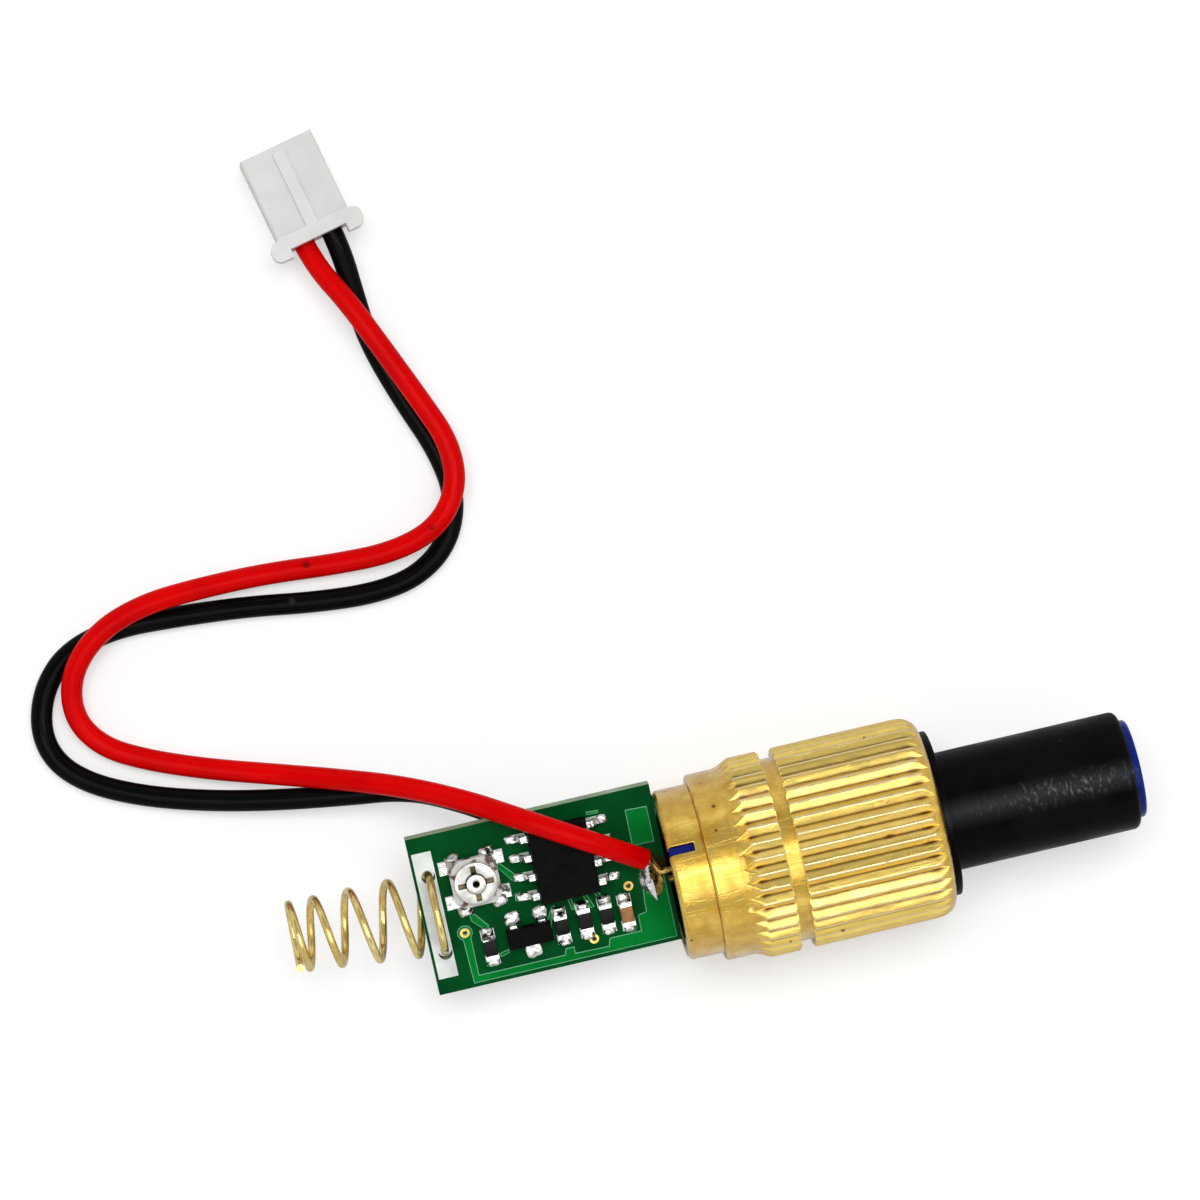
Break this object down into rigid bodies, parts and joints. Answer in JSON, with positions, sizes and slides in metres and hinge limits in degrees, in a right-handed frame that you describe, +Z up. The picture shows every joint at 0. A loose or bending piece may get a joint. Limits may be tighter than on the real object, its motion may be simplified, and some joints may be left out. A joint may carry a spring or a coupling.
{
  "type": "laser diode module",
  "caption": "Laser module with a knurled brass barrel, black lens tube, driver board with trimmer, battery contact spring, and red and black wires to a small white plug.",
  "frame": {"origin": "bottom centre of the module's box without its wires and plug: under the middle of its length, on the optical axis's vertical plane, at the height of the surface it lies on", "axes": "+X along the optical axis, the way the beam leaves; +Z up from the surface it lies on; +Y to the side where the wires and the plug lie"},
  "size_m": [0.0682, 0.0581, 0.013],
  "materials": {
    "brass": "turned, satin",
    "blue_plastic": "satin",
    "blue_ring": "glossy",
    "gold_plate": "polished",
    "bright_tin": "bright",
    "glass": "polished",
    "crystal": "polished",
    "black_tube": "black anodised, satin",
    "board_green": "solder mask over glass fibre",
    "spring_gold": "plated spring wire, bright",
    "trimmer_ceramic": "fired ceramic, stands in as plastic",
    "package_black": "moulded",
    "resistor_black": "glazed",
    "capacitor_brown": "fired",
    "red_insulation": "glossy",
    "black_insulation": "glossy",
    "white_nylon": "satin"
  },
  "bodies": {
    "module": {"barrel": "brass", "diode_plug": "brass", "crystal_holder": "brass", "insulating_sleeve": "blue_plastic", "lens_retainer": "blue_ring", "diode_header": "gold_plate", "diode_cap": "bright_tin", "diode_window": "glass", "diode_leads": "gold_plate", "laser_crystal": "crystal", "lens_tube": "black_tube", "expander_lens": "glass", "collimating_lens": "glass", "circuit_board": "board_green", "contact_strip": "bright_tin", "via_rings": "gold_plate", "solder_pads": "bright_tin", "contact_spring": "spring_gold", "trimmer_base": "trimmer_ceramic", "trimmer_rivet": "bright_tin", "trimmer_terminals": "bright_tin", "controller_chip": "package_black", "chip_leads": "bright_tin", "transistor": "package_black", "transistor_leads": "bright_tin", "resistor_1": "resistor_black", "resistor_2": "resistor_black", "resistor_3": "resistor_black", "resistor_4": "resistor_black", "capacitor": "capacitor_brown", "end_caps": "bright_tin", "solder_fillets": "bright_tin", "red_wire": "red_insulation", "black_wire": "black_insulation", "wire_strands": "bright_tin", "red_wire_solder": "bright_tin", "black_wire_solder": "bright_tin", "plug_housing": "white_nylon", "plug_contacts": "bright_tin"},
    "rotor": {"trimmer_rotor": "bright_tin"}
  },
  "joints": [
    {"name": "trimmer_turn", "type": "hinge", "parent": "module", "child": "rotor", "pos_m": [-0.01521, 0.00261, 0.0067], "axis": [0, -0.2079, 0.9781], "range_deg": [-115, 115]}
  ]
}
